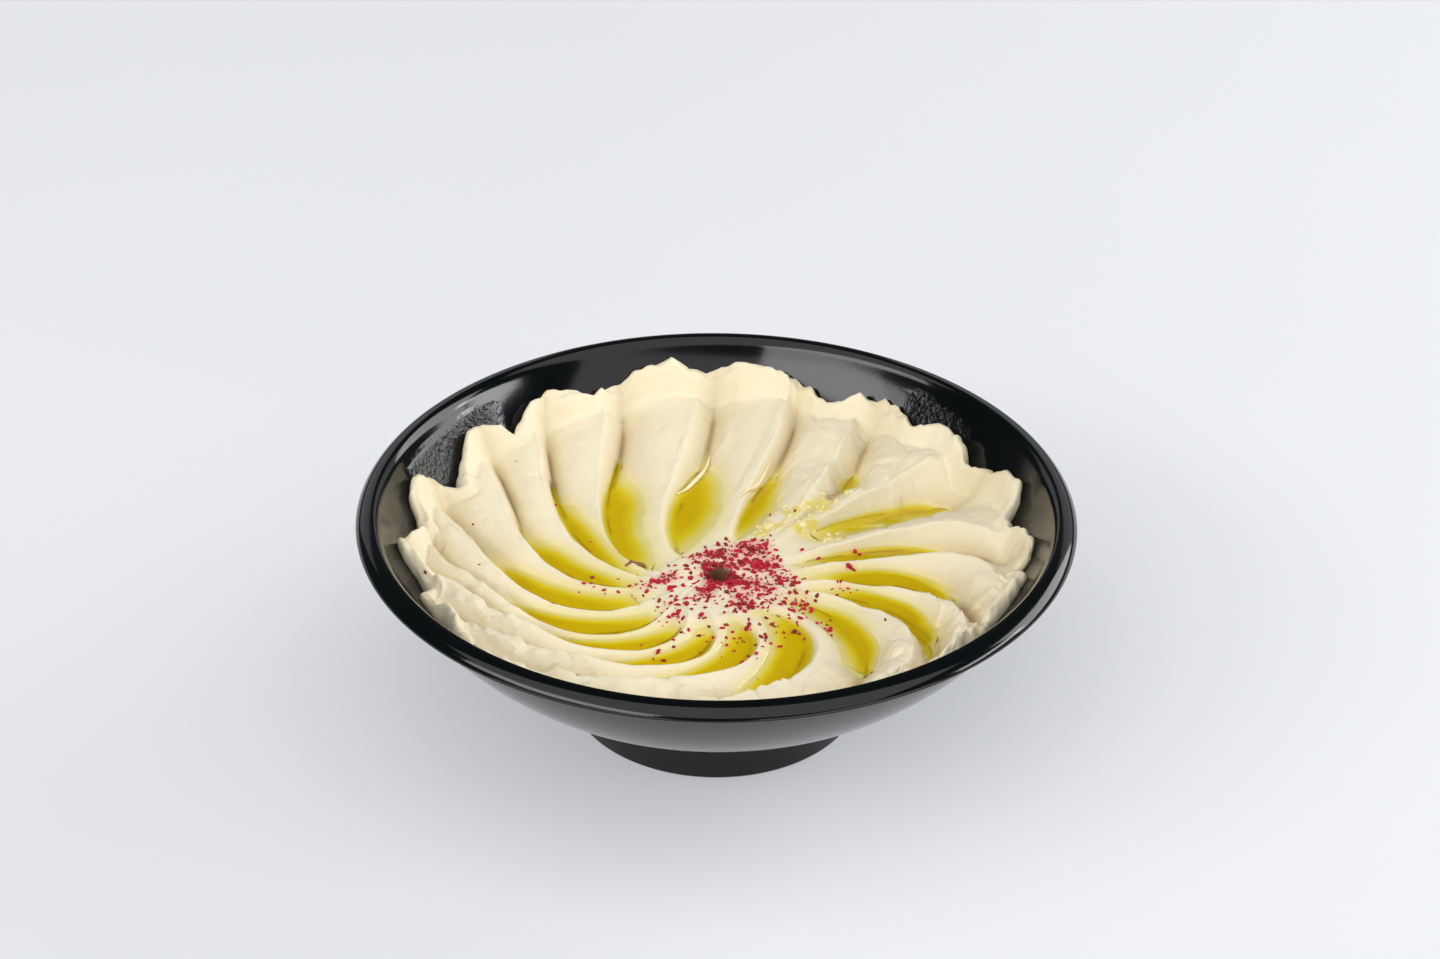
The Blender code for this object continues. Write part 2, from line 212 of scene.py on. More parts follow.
def noise(tree, place, scale, detail=2.0, roughness=0.5):
    """Soft three-dimensional noise from 0 to 1, with its scale in waves to the metre."""
    sockets = {"Vector": place, "Scale": scale, "Detail": detail, "Roughness": roughness}
    return Wire.node(tree, "ShaderNodeTexNoise", {}, sockets)


def object_place(tree):
    """A point's own place on the dish, in metres."""
    return Wire.node(tree, "ShaderNodeTexCoord", output="Object")


TABLE_SIZE = 3.0
TABLE_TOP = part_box("bowl")[0][2]
TABLE_GLOW = 0.27

board, tree, shader = new_finish("white_board", Roughness=0.55, Emission_Strength=TABLE_GLOW)
shader.inputs["Emission Color"].default_value = (0.93, 0.96, 1.0, 1.0)
cloud = noise(tree, object_place(tree), 3.0)
feed(shader, "Base Color", mix(cloud, shade(203, 204, 207), shade(207, 208, 211)))
half = TABLE_SIZE / 2
corners = [(x, y, TABLE_TOP) for x, y in ((-half, -half), (half, -half), (half, half), (-half, half))]
mesh = bpy.data.meshes.new("table")
mesh.from_pydata(corners, [], [(0, 1, 2, 3)])
mesh.materials.append(board)
table = bpy.data.objects.new("table", mesh)
bpy.context.scene.collection.objects.link(table)


# ---- Bowl
# One pressed melamine shell, gloss black inside and out: a rolled lip that overhangs the
# wall by a small step, a convex wall, and a foot ring with a hollow under it.
MM = 0.001
RIM_RADIUS = 100.0
HEIGHT = 66.0
LIP_WIDTH = 5.5
LIP_BAND = 3.6
LIP_OVERHANG = 4.0
WALL_THICKNESS = 3.5
FOOT_RADIUS = 42.2
FOOT_HEIGHT = 15.0
FOOT_RING_WIDTH = 4.0
FOOT_RECESS = 11.0
FLOOR_HEIGHT = 17.5
BOWL_STEPS = 288

# The wall's outside: where it leaves the lip, how it bulges, where its two curves join, and
# how the lower one tucks in towards the foot. Each is a radius and a height.
WALL_TOP = (RIM_RADIUS - LIP_OVERHANG, HEIGHT - 4.2)
WALL_BULGE = (83.3, 37.6)
WALL_JOIN = (59.5, 23.2)
WALL_TUCK = (51.0, 18.0)
LIP_INSIDE = RIM_RADIUS - LIP_WIDTH


def bezier(points, count):
    """Points along a quadratic curve: (1-t)^2 first + 2t(1-t) middle + t^2 last."""
    first, middle, last = (np.array(point, float) for point in points)
    t = np.linspace(0, 1, count)[:, None]
    return (1 - t) ** 2 * first + 2 * t * (1 - t) * middle + t ** 2 * last


def rounding(centre, radius, start, end, count):
    """Points along an arc: centre + radius (cos, sin), with its angles in degrees."""
    turn = np.radians(np.linspace(start, end, count))
    return np.stack([centre[0] + radius * np.cos(turn), centre[1] + radius * np.sin(turn)], 1)


def outer_wall():
    """The convex wall outside, from under the lip down to the foot: two curves end to end."""
    upper = bezier([WALL_TOP, WALL_BULGE, WALL_JOIN], 40)
    lower = bezier([WALL_JOIN, WALL_TUCK, (FOOT_RADIUS + 0.4, FOOT_HEIGHT + 0.3)], 14)
    return np.concatenate([upper, lower[1:]])


def inner_wall():
    """The outer wall moved inwards along its normals by its thickness, from floor to lip."""
    outer = outer_wall()
    along = np.gradient(outer, axis=0)
    along /= np.linalg.norm(along, axis=1, keepdims=True)
    inward = np.stack([along[:, 1], -along[:, 0]], 1)
    offset = (outer + inward * WALL_THICKNESS)[::-1]
    shoulder = bezier([offset[-1], (LIP_INSIDE - 0.9, HEIGHT - 1.2), (LIP_INSIDE - 0.1, HEIGHT - 0.5)], 7)
    floor = [[radius, FLOOR_HEIGHT + (offset[0, 1] - FLOOR_HEIGHT) * (radius / offset[0, 0]) ** 6]
             for radius in np.linspace(0, offset[0, 0], 12)[:-1]]
    return np.concatenate([floor, offset[:-1], shoulder])


def bowl_profile():
    """The whole section, from the floor's middle out over the lip and back underneath."""
    ring = FOOT_RADIUS - FOOT_RING_WIDTH
    rim, lip, top, step = RIM_RADIUS, LIP_INSIDE, HEIGHT, HEIGHT - LIP_BAND
    parts = [
        inner_wall(),
        bezier([(lip + 0.2, top - 0.25), (lip + 0.8, top), (lip + 1.6, top - 0.1)], 6),
        bezier([(rim - 3.6, top - 0.14), (rim - 1.2, top - 0.5), (rim, top - 2.8)], 16),
        bezier([(rim, top - 3.0), (rim, step + 0.1), (rim - 0.5, step)], 6),
        bezier([(rim - 1.0, step - 0.1), (WALL_TOP[0] + 0.4, step - 0.1), WALL_TOP], 6),
        outer_wall()[1:-2],
        bezier([outer_wall()[-2], (FOOT_RADIUS + 0.1, FOOT_HEIGHT), (FOOT_RADIUS, FOOT_HEIGHT - 1.5)], 5),
        [[FOOT_RADIUS, FOOT_HEIGHT / 2]],
        rounding((FOOT_RADIUS - 0.9, 0.9), 0.9, 0, -90, 6),
        rounding((ring + 0.7, 0.7), 0.7, 270, 180, 5),
        bezier([(ring - 0.3, FOOT_RECESS - 3), (ring - 0.5, FOOT_RECESS), (ring - 3.0, FOOT_RECESS)], 7),
        [[ring * 0.6, FOOT_RECESS], [0, FOOT_RECESS]],
    ]
    return np.concatenate([np.asarray(part, float) for part in parts])


def ring_mesh(name, rings, first, last):
    """A closed skin over rings of points, each with as many, with a single point at each end."""
    rows, columns = rings.shape[:2]
    points = np.concatenate([rings.reshape(-1, 3), [first, last]]) * MM
    here = np.arange(columns)
    after = (here + 1) % columns
    rows_at = np.arange(rows - 1)[:, None] * columns
    corners = [rows_at + here, rows_at + columns + here, rows_at + columns + after, rows_at + after]
    quads = np.stack(corners, -1).reshape(-1, 4)
    end = (rows - 1) * columns
    top = np.stack([np.full(columns, rows * columns), here, after], -1)
    base = np.stack([np.full(columns, rows * columns + 1), end + after, end + here], -1)
    mesh = bpy.data.meshes.new(name)
    mesh.from_pydata(points.tolist(), [], quads.tolist() + top.tolist() + base.tolist())
    mesh.shade_smooth()
    return mesh


def mesh_points(mesh):
    """A mesh's points as rows of three, in metres."""
    flat = np.empty(3 * len(mesh.vertices))
    mesh.vertices.foreach_get("co", flat)
    return flat.reshape(-1, 3)


def turned_mesh(name, profile, steps):
    """The profile carried round the axis: each of its points becomes a ring, its two ends poles."""
    turn = np.linspace(0, 2 * np.pi, steps, endpoint=False)
    circle = np.stack([np.cos(turn), np.sin(turn), np.ones(steps)], 1)
    rings = circle[None] * profile[1:-1, [0, 0, 1]][:, None]
    return ring_mesh(name, rings, [0, 0, profile[0, 1]], [0, 0, profile[-1, 1]])


def add_piece(mesh, material, slot=None, *nodes):
    """Put a finished mesh in the scene in place of the frame's nodes, on the dish's one body."""
    mesh.materials.append(material)
    piece = bpy.data.objects.new(mesh.name, mesh)
    bpy.context.scene.collection.objects.link(piece)
    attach(piece, "root")
    if nodes:
        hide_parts(*nodes)


def smooth_step(x):
    """Rise from 0 to 1 with level ends: 3x^2 - 2x^3, held outside 0 to 1."""
    x = np.clip(x, 0, 1)
    return x * x * (3 - 2 * x)


def sector(angle, centre, half_width, soft):
    """1 within a half width of a direction, in degrees, and falling smoothly to 0 over a soft width."""
    away = np.abs(np.mod(angle - centre + 180, 360) - 180)
    return smooth_step((half_width + soft - away) / soft)


def store(mesh, name, values):
    """Keep a number, or a vector where values has rows of three, on each of a mesh's points."""
    kind, field = ("FLOAT_VECTOR", "vector") if values.ndim > 1 else ("FLOAT", "value")
    mesh.attributes.new(name, kind, "POINT").data.foreach_set(field, values.reshape(-1))


def attribute(tree, name, output="Fac"):
    """What store() kept on a mesh's points under a name."""
    return Wire.node(tree, "ShaderNodeAttribute", {"attribute_name": name}, output=output)


def bump(tree, height, strength, distance):
    """A normal tilted by a height wire, whose full step is a distance in metres."""
    sockets = {"Height": height, "Strength": strength, "Distance": distance}
    return Wire.node(tree, "ShaderNodeBump", {}, sockets)


# Greasy smears left on the wall above the hummus: a direction, a half width and a strength.
SMEARS = ((152, 9, 1.0), (41, 4, 0.6))
SMEAR_FADE = 7
SMEAR_LOWEST = 46.0
SMEAR_HIGHEST = HEIGHT - 4.5

melamine, tree, shader = new_finish("black_melamine", IOR=1.5, Specular_IOR_Level=0.42)
place = object_place(tree)
cloud = noise(tree, place, 35.0, 3.0)
grain = noise(tree, place, 900.0, 1.0)
feed(shader, "Base Color", mix(cloud, shade(3, 7, 8), shade(6, 9, 11)))
smear = attribute(tree, "smeared")
peel = noise(tree, place, 620.0, 3.0) * smear
feed(shader, "Roughness", 0.06 + cloud * 0.08 + smear * 0.08)
feed(shader, "Normal", bump(tree, grain * 0.1 + cloud * 0.6 + peel * 22.0, 0.25, 0.0002))
bowl_mesh = turned_mesh("melamine_bowl", bowl_profile(), BOWL_STEPS)
spot = mesh_points(bowl_mesh) / MM
round_axis = np.degrees(np.arctan2(spot[:, 1], spot[:, 0]))
above_hummus = smooth_step((spot[:, 2] - SMEAR_LOWEST) / 4) * smooth_step((SMEAR_HIGHEST - spot[:, 2]) / 2)
outside = outer_wall()[::-1]
inside_wall = spot[:, 2] > np.interp(np.hypot(spot[:, 0], spot[:, 1]), outside[:, 0], outside[:, 1]) + 1
smeared = sum(sector(round_axis, centre, wide, SMEAR_FADE) * strength for centre, wide, strength in SMEARS)
store(bowl_mesh, "smeared", smeared * above_hummus * inside_wall)
add_piece(bowl_mesh, melamine, "bowl_black", "bowl")


# ---- Hummus
# A thick paste spread up the wall with the back of a spoon. Each stroke leaves a furrow
# that curls outwards, a petal with one sharp ridge, and a torn lip pressed up the wall.

# The swirl: its hub and crown as radii from the hub and heights, and how its petals fold.
HUB_Y = -6.0
HUB_HEIGHT = 43.4
HUB_RADIUS = 15.0
SWIRL_RADIUS = 88.0
PETAL_TURN = 0.37
EDGE_PULL = 7
UNDERLAP = 0.3
CROWN = ((0, 43.4), (20, 44.1), (32, 44.8), (45, 45.8), (62, 49.0), (76, 51.2), (88, 52.4))
FURROW_END_HEIGHT = 46.5
FURROW_END_RADIUS = 82.0
STEEPNESS = 0.55
FOLD_LEAD = 22.0
FOLD_BLUNT_DELAY = 14.0
FOLD_FADE = 24.0
# The oil's level and depth in the furrows, and how bluntly it ends on the guest's side.
OIL_LEVEL_MIDDLE = 43.2
OIL_LEVEL_LEAN = 1.25
OIL_DEPTH = 3.8
DEEPEST_AT = 0.6
BLUNTEST = 0.8
BLUNT_SECTOR = (275, 90, 20)
BLUNT_SHIFT = 0.22
# The lip on the wall: its thickness, how deep it reaches, and its blend into the petals.
LIP_THICKNESS = 5.4
LIP_LEAST = 0.45
LIP_DEPTH = 10.0
LIP_FADE = 6.0
LIP_BLEND = 0.5
BACK_BLEND = 1.1
BACK_SECTOR = (100, 60, 30)
# The hole, the plateau and the dent near the hub: their places, radii and heights.
HOLE = (0.7, -7.8)
HOLE_RADIUS = 3.3
HOLE_DEPTH = 4.6
PLATEAU = (-5.0, -15.0)
PLATEAU_RADIUS = 19.0
PLATEAU_HEIGHT = 1.0
PLATEAU_FADE = 3.5
DENT = (12.4, 1.0)
DENT_RADIUS = 1.9
DENT_DEPTH = 1.3
# The skins across two furrows and the slits in two more.
SKIN_REACH = 7.0
SKIN_STEP = 1.5
SLIT_DEPTH = 3.4
SLIT_WIDTH = 0.8
SLIT_FADE = 3.0
COLUMNS_PER_PETAL = 38

# One row for each spoon stroke, anticlockwise from +X: the angle in degrees of its furrow
# at each STROKE_RADII about the hub, the radii between which oil stands in it, how far
# across the next petal its ridge lies, from 0 to 1, and the power that widens its trough.
STROKE_RADII = (25.0, 45.0, 65.0, 85.0)
MIDWAY, OIL_START, OIL_END, RIDGE, TROUGH = 1, 4, 5, 6, 7
STROKES = (
    (18, 17, 12, -2, 27, 70, 0.25, 2.4),
    (43, 40, 34, 26, 36, 79, 0.35, 1.0),
    (46, 49, 53, 57, 58, 71, 0.25, 0.95),
    (75, 75, 73, 74, 22, 66, 0.13, 0.95),
    (117, 101, 93, 90.5, 16, 67, 0.24, 0.95),
    (160, 134.5, 117.5, 109.5, 17, 68, 0.25, 0.95),
    (174, 152.5, 137.5, 126, 22, 66, 0.22, 0.95),
    (192, 175, 154, 141, 23, 59, 0.2, 1.0),
    (216, 200, 176, 160.5, 22, 66, 0.22, 1.2),
    (234, 220, 193, 173.5, 24, 65, 0.25, 1.35),
    (249, 237.5, 205, 183, 27, 63, 0.22, 1.4),
    (265, 257, 224, 200, 27, 62, 0.2, 1.6),
    (284, 276, 243, 218, 24, 60, 0.2, 1.7),
    (307, 301, 273, 245, 24, 63, 0.3, 1.3),
    (328, 323.5, 307, 282, 25, 69, 0.7, 0.6),
    (343, 342, 332, 310, 30, 77, 0.72, 1.8),
    (353, 356.5, 348.5, 332, 25, 71, 0.6, 2.2),
)
PETALS = len(STROKES)

# A skin of paste across a furrow: its stroke, its distance from the hub and its slant.
# A slit in a furrow's bottom: its stroke and the distances between which it runs.
SKINS = ((4, 56.0, 1.5), (3, 55.0, 1.9))
SLITS = ((5, 56.0, 70.0), (6, 53.0, 70.0))

# The torn edge on the wall, anticlockwise: an angle and a radius from the bowl's axis at
# the corners of each lip and of each notch between two lips.
EDGE = (
    (0, 86.6), (4, 84.2), (8, 85.2), (9.5, 88), (12, 89.2), (16, 89.3), (21, 87.4), (28, 84.2), (31, 87),
    (34, 87.6), (40, 87), (46, 84.6), (49, 87), (54, 88), (59, 87), (64, 83), (69, 85.6), (75, 87.7),
    (79, 89.4), (86, 89.4), (92.5, 87.4), (96, 88.6), (99.5, 90.4), (106, 89.2), (112, 87.6), (117, 86),
    (121.5, 87.8), (126, 89.1), (130.5, 88.2), (134, 85.8), (137.5, 83.8), (139.3, 86.8), (143, 88.4),
    (147.5, 88.8), (151, 86.4), (156, 83.4), (158.8, 81.9), (161.4, 84.6), (163, 87.3), (168.5, 89.3),
    (172, 88.6), (175, 85.6), (178.4, 83.5), (182, 86), (187.5, 88.4), (190.5, 87.6), (193, 84.2),
    (197, 82.8), (202, 86.6), (206, 84.6), (209, 83.0), (214, 84.8), (222, 86), (231, 84.5), (242, 86.2),
    (253, 84.8), (266, 86.4), (279, 84.8), (291, 86.2), (303, 84.5), (313, 85.5), (324, 83.5),
    (332, 83.5), (338, 86), (344, 88), (349, 85), (351, 87.8), (355.5, 88.3), (360, 86.6),
)
WALL = inner_wall()


def smooth_curve(x, knots):
    """A curve through (x, y) knots: cubic pieces with averaged slopes at the knots."""
    at = np.array([knot[0] for knot in knots], float)
    value = np.array([knot[1] for knot in knots], float)
    slope = np.gradient(value, at)
    x = np.clip(x, at[0], at[-1])
    i = np.clip(np.searchsorted(at, x) - 1, 0, len(at) - 2)
    step = at[i + 1] - at[i]
    t = (x - at[i]) / step
    return (value[i] * (1 + 2 * t) * (1 - t) ** 2 + value[i + 1] * t ** 2 * (3 - 2 * t)
            + step * t * (1 - t) * (slope[i] * (1 - t) - slope[i + 1] * t))


def bell(x, middle, width):
    """A rounded bump of height 1 about a middle: exp(-((x - middle) / width)^2)."""
    return np.exp(-((x - middle) / width) ** 2)


def lumps(x, y, size, seed):
    """Smooth random heights from -1 to 1: values on a lattice of a size, joined by smooth steps.

    The seed only picks the pattern, so each use of it has its own.
    """
    table = np.random.default_rng(seed).uniform(-1, 1, (64, 64))
    x, y = np.asarray(x) / size, np.asarray(y) / size
    i, j = np.floor(x).astype(int), np.floor(y).astype(int)
    u, v = smooth_step(x - i), smooth_step(y - j)
    i, j, i2, j2 = i % 64, j % 64, (i + 1) % 64, (j + 1) % 64
    near = table[i, j] * (1 - u) + table[i2, j] * u
    far = table[i, j2] * (1 - u) + table[i2, j2] * u
    return near * (1 - v) + far * v


def wall_height(radius):
    """Height of the wall's inside at a radius from the bowl's axis."""
    return np.interp(radius, WALL[:, 0], WALL[:, 1])


def stroke_value(stroke, column):
    """A column of STROKES for each stroke number; the numbers run on past the last stroke."""
    return np.array(STROKES)[np.asarray(stroke) % PETALS, column]


def furrow_angle(stroke, radius):
    """Angle of a stroke's furrow: the cubic through its angles at STROKE_RADII."""
    radius = np.clip(radius, HUB_RADIUS, SWIRL_RADIUS)
    angle = 360.0 * (stroke // PETALS) + np.zeros_like(radius)
    for k, own in enumerate(STROKE_RADII):
        weight = np.ones_like(radius)
        for other in STROKE_RADII:
            if other != own:
                weight = weight * (radius - other) / (own - other)
        angle = angle + weight * stroke_value(stroke, k)
    return angle


def oil_level(stroke):
    """The oil's level in a furrow, a little higher on the guest's side."""
    turn = np.radians(STROKES[stroke][MIDWAY])
    return OIL_LEVEL_MIDDLE - OIL_LEVEL_LEAN * np.sin(turn)


def bluntness(stroke):
    """How bluntly a furrow's oil ends: most on the guest's side, where the spoon was lifted out."""
    return BLUNTEST * sector(stroke_value(stroke, MIDWAY), *BLUNT_SECTOR)


def furrow_height(stroke, radius):
    """Height along a furrow's bottom, below the oil's level between its two oil radii."""
    inner, outer = STROKES[stroke][OIL_START], STROKES[stroke][OIL_END]
    level = oil_level(stroke)
    deepest = DEEPEST_AT + BLUNT_SHIFT * bluntness(stroke)
    knots = [(0, HUB_HEIGHT), (inner - 4, max(HUB_HEIGHT, level + 0.5)), (inner, level),
             (0.72 * inner + 0.28 * outer, level - 0.9 * OIL_DEPTH),
             (inner + deepest * (outer - inner), level - OIL_DEPTH),
             (outer, level), (FURROW_END_RADIUS, FURROW_END_HEIGHT), (100, FURROW_END_HEIGHT + 2)]
    return smooth_curve(radius, knots)


def crest(across, radius, petal):
    """Height across a petal from 0 in either furrow to 1 on its ridge, which lies nearer one of them.

    Near the hub the short side is a bank and the long side a soft slope into a flat trough.
    Further out both sides meet the furrows in sharp creases, and the long side bulges.
    """
    ridge_at = stroke_value(petal, RIDGE)
    owner = petal + (across > ridge_at)
    fold_start = stroke_value(owner, OIL_END) - FOLD_LEAD + FOLD_BLUNT_DELAY * bluntness(owner)
    outward = smooth_step((radius - fold_start) / FOLD_FADE)
    short_width = np.minimum(ridge_at, 1 - ridge_at)
    from_short = np.where(ridge_at > 0.5, 1 - across, across)
    on_short = from_short < short_width
    short = np.clip(from_short / short_width, 0, 1)
    long = np.clip((1 - from_short) / (1 - short_width), 0, 1)
    trough = np.where(on_short, short ** 1.2, smooth_step(long) ** stroke_value(owner, TROUGH))
    fold = np.where(on_short, short ** 0.95, 1 - (1 - long) ** 2.4)
    return trough + (fold - trough) * outward


def edge_radius(angle):
    """Radius from the bowl's axis at which the hummus ends on the wall, with fine tears."""
    angle = np.mod(angle, 360)
    corners = np.array(EDGE)
    ragged = 0.3 + 0.25 * sector(angle, 30, 55, 20)
    torn = lumps(angle, 0 * angle, 1.6, 3) * ragged + lumps(angle, 0 * angle, 4.0, 4) * 0.4
    return np.interp(angle, corners[:, 0], corners[:, 1]) + torn


def reach(angle):
    """Distance from the hub to the hummus's edge in one direction."""
    turn = np.radians(angle)
    from_axis = np.arctan2(HUB_Y + SWIRL_RADIUS * np.sin(turn), SWIRL_RADIUS * np.cos(turn))
    towards = HUB_Y * np.sin(turn)
    return -towards + np.sqrt(towards ** 2 + edge_radius(np.degrees(from_axis)) ** 2 - HUB_Y ** 2)


def from_hole(x, y):
    """Distance from the middle of the hub's hole, which is 1 at its rim and a little longer in y."""
    return np.hypot((x - HOLE[0]) / HOLE_RADIUS, (y - HOLE[1]) / (1.15 * HOLE_RADIUS))


def hub_shape(x, y):
    """What stands out near the hub: a low plateau, the deep hole beside it and a smaller dent."""
    from_plateau = np.hypot(x - PLATEAU[0], y - PLATEAU[1])
    plateau = PLATEAU_HEIGHT * smooth_step((PLATEAU_RADIUS - from_plateau) / PLATEAU_FADE)
    hole = HOLE_DEPTH * smooth_step((1.15 - from_hole(x, y)) / 0.55)
    lip = 0.5 * bell(from_hole(x, y), 1.45, 0.3)
    from_dent = np.hypot(x - DENT[0], y - DENT[1]) / DENT_RADIUS
    return plateau + lip - hole - DENT_DEPTH * smooth_step((1.3 - from_dent) / 0.9)


def beside_furrow(petal, across, swirl, stroke):
    """Distance in millimetres across a stroke's furrow, positive on the petal after it; far off, 99."""
    width = swirl * np.radians(furrow_angle(petal + 1, swirl) - furrow_angle(petal, swirl))
    after = np.where(petal % PETALS == stroke, across * width, 99.0)
    return np.where((petal + 1) % PETALS == stroke, (across - 1) * width, after)


def slits(petal, across, swirl):
    """1 in the bottom of either slit and 0 away from it: a bell across it, faded at both its ends."""
    opened = np.zeros_like(swirl)
    for stroke, start, end in SLITS:
        along = smooth_step((swirl - start) / SLIT_FADE) * smooth_step((end - swirl) / SLIT_FADE)
        opened = opened + along * bell(beside_furrow(petal, across, swirl, stroke), 0, SLIT_WIDTH)
    return opened


def skins_and_slits(petal, across, swirl):
    """A thin skin of paste across each of two furrows where their oil ends, and two deep slits."""
    height = -SLIT_DEPTH * slits(petal, across, swirl)
    for stroke, middle, slant in SKINS:
        aside = beside_furrow(petal, across, swirl, stroke)
        beyond = (swirl - middle + slant * aside) / math.hypot(1, slant)
        near = smooth_step((SKIN_REACH - np.abs(aside)) / 2)
        height = height + near * (1.3 * bell(beyond, 0, 0.55) + SKIN_STEP * smooth_step(beyond / 2))
    return height


def terraces(values, sharpness):
    """Flat levels from 0 to 1 with crisp steps between them, from smooth values about 0."""
    return smooth_step(0.5 + values * sharpness)


def relief(petal, across, ridge_at, swirl, angle, x, y):
    """What the spoon leaves: levels and fine ridges along the stroke, burrs, pits and torn plates."""
    outward = smooth_step((swirl - 18) / 20)
    far = smooth_step((swirl - 34) / 20)
    side = sector(angle, 8, 52, 25)
    stroke = petal + across
    levels = terraces(lumps(stroke * 4.3, swirl * 0.03, 1.0, 18), 3.5) * (0.12 + 0.3 * side)
    lines = (1 - np.abs(lumps(stroke * 5.5, swirl * 0.035, 1.0, 12))) ** 9 * (0.1 + 0.3 * side)
    soft = lumps(x, y, 8.0, 13) * 0.4 + lumps(x, y, 3.0, 14) * 0.12
    pits = smooth_step((lumps(x, y, 2.1, 19) - 0.7) / 0.2) * 0.35
    from_ridge = (across - ridge_at) * swirl * PETAL_TURN
    burr_height = 0.3 + 0.35 * side + 0.45 * lumps(petal * 9.0 + 3, swirl, 5.0, 17)
    flap = sector(angle, 42, 14, 12) * smooth_step((swirl - 40) / 12)
    front = smooth_step((swirl - 54) / 10) * smooth_step((-y - 4) / 26)
    torn = terraces(lumps(x, y, 6.5, 21), 4.0) * 0.9 + terraces(lumps(x, y, 3.1, 22), 3.0) * 0.35
    slanted = lumps(x + 0.9 * y, 0.5 * y - 0.8 * x, 6.0, 15)
    wedges = terraces(slanted, 6.0) * 1.3 + terraces(lumps(x, y, 2.6, 16), 3.0) * 0.5
    rough = (wedges + lumps(x, y, 1.3, 26) * 0.2) * front + torn * flap
    fine = far * (levels + lines - pits) + skins_and_slits(petal, across, swirl)
    return outward * bell(from_ridge, 0, 0.8) * burr_height + fine + soft + rough + hub_shape(x, y)


def hummus_top(petal, across, out):
    """Points on the top for a petal's number, 0..1 across it and 0..1 out from the hub.

    The height is a blend into the higher of the petals and of a lip that lies on the wall,
    with a bead and a groove pressed along the edge, and it is rounded off to nothing there.
    """
    swirl = out * SWIRL_RADIUS
    first, second = furrow_angle(petal, swirl), furrow_angle(petal + 1, swirl)
    angle = first + (second - first) * across
    radius = swirl + (reach(angle) - SWIRL_RADIUS) * out ** EDGE_PULL
    turn = np.radians(angle)
    x, y = radius * np.cos(turn), HUB_Y + radius * np.sin(turn)
    low, lean = np.zeros_like(swirl), np.zeros_like(swirl)
    for stroke in range(PETALS):
        own = furrow_height(stroke, swirl)
        level = oil_level(stroke) - OIL_LEVEL_MIDDLE
        for share, whose in ((1 - across, petal), (across, petal + 1)):
            low = np.where(whose % PETALS == stroke, low + own * share, low)
            lean = np.where(whose % PETALS == stroke, lean + level * share, lean)
    crown = smooth_curve(swirl, CROWN) + lean * smooth_step((swirl - 6) / 20) * smooth_step((85 - swirl) / 25)
    rise = np.maximum(crown - low, 0.3)
    width = swirl * np.radians(second - first)
    ridge_at = stroke_value(petal, RIDGE)
    profile = crest(across, swirl, petal)
    height = low + rise * np.tanh(STEEPNESS * width / rise) * profile
    traces = relief(petal, across, ridge_at, swirl, angle, x, y)
    wall = wall_height(np.hypot(x, y))
    inside = reach(angle) - radius
    thickness = LIP_THICKNESS * (LIP_LEAST + (1 - LIP_LEAST) * profile)
    thickness = thickness * (1 + 0.2 * lumps(angle, radius, 9.0, 8))
    lip = wall + thickness * smooth_step((LIP_DEPTH - inside) / LIP_FADE) + 0.9 * traces
    softness = LIP_BLEND + BACK_BLEND * sector(angle, *BACK_SECTOR)
    height = np.logaddexp((height + traces) / softness, lip / softness) * softness
    pressed = 0.75 + 0.6 * lumps(angle, 0 * angle, 7.0, 9)
    drawn = inside + 1.2 * lumps(angle, 0 * angle, 5.0, 10)
    height = height + pressed * (1.5 * bell(drawn, 3.0, 1.2) - 1.3 * bell(drawn, 6.2, 1.5))
    crumpled = terraces(lumps(x, y, 3.4, 23), 3.0) * 0.7 + lumps(x, y, 1.6, 24) * 0.25
    height = height + crumpled * smooth_step((9 - inside) / 4)
    over = np.maximum(height - wall, 0.5)
    round_width = np.clip(over * 0.5, 1.2, 3.0)
    rounded = np.sqrt(np.clip(1 - np.clip(1 - inside / round_width, 0, 1) ** 2, 0, 1))
    return np.stack([x, y, wall + over * rounded], -1)


short_columns = COLUMNS_PER_PETAL // 3
across = []
for row in STROKES:
    climbing = COLUMNS_PER_PETAL - short_columns if row[RIDGE] > 0.5 else short_columns
    climb = np.linspace(0, row[RIDGE], climbing, endpoint=False)
    fall = np.linspace(row[RIDGE], 1, COLUMNS_PER_PETAL - climbing, endpoint=False)
    across = np.concatenate([across, climb, fall])
petal = np.repeat(np.arange(PETALS), COLUMNS_PER_PETAL)
out = np.concatenate([
    np.linspace(0, 0.09, 17)[1:], np.linspace(0.09, 0.66, 61)[1:], np.linspace(0.66, 0.985, 56)[1:],
    1 - 0.015 * np.array([0.8, 0.62, 0.46, 0.32, 0.2, 0.1, 0.03, 0.0])])
petal_grid, out_grid = np.broadcast_arrays(petal[None], out[:, None])
across_grid = np.broadcast_to(across[None], petal_grid.shape)
top = hummus_top(petal_grid, across_grid, out_grid)
under = []
for share in (0.97, 0.8, 0.6, 0.4):
    level = top[-1] * [share, share, 0]
    level[:, 2] = wall_height(np.hypot(level[:, 0], level[:, 1])) - UNDERLAP
    under.append(level)
rings = np.concatenate([top, under])

# How far above the oil the paste counts as dry, and how oil creeps up a long side.
DRY = 1.6
CREEP = 0.62
THINNED = 0.55


def soaked(depth):
    """The depth to show on a furrow's long side: oil creeps higher up it, and is thinner over it."""
    thinned = THINNED + (1 - THINNED) * smooth_step(depth / OIL_DEPTH)
    return np.where(depth < 0, depth * CREEP, depth * thinned)


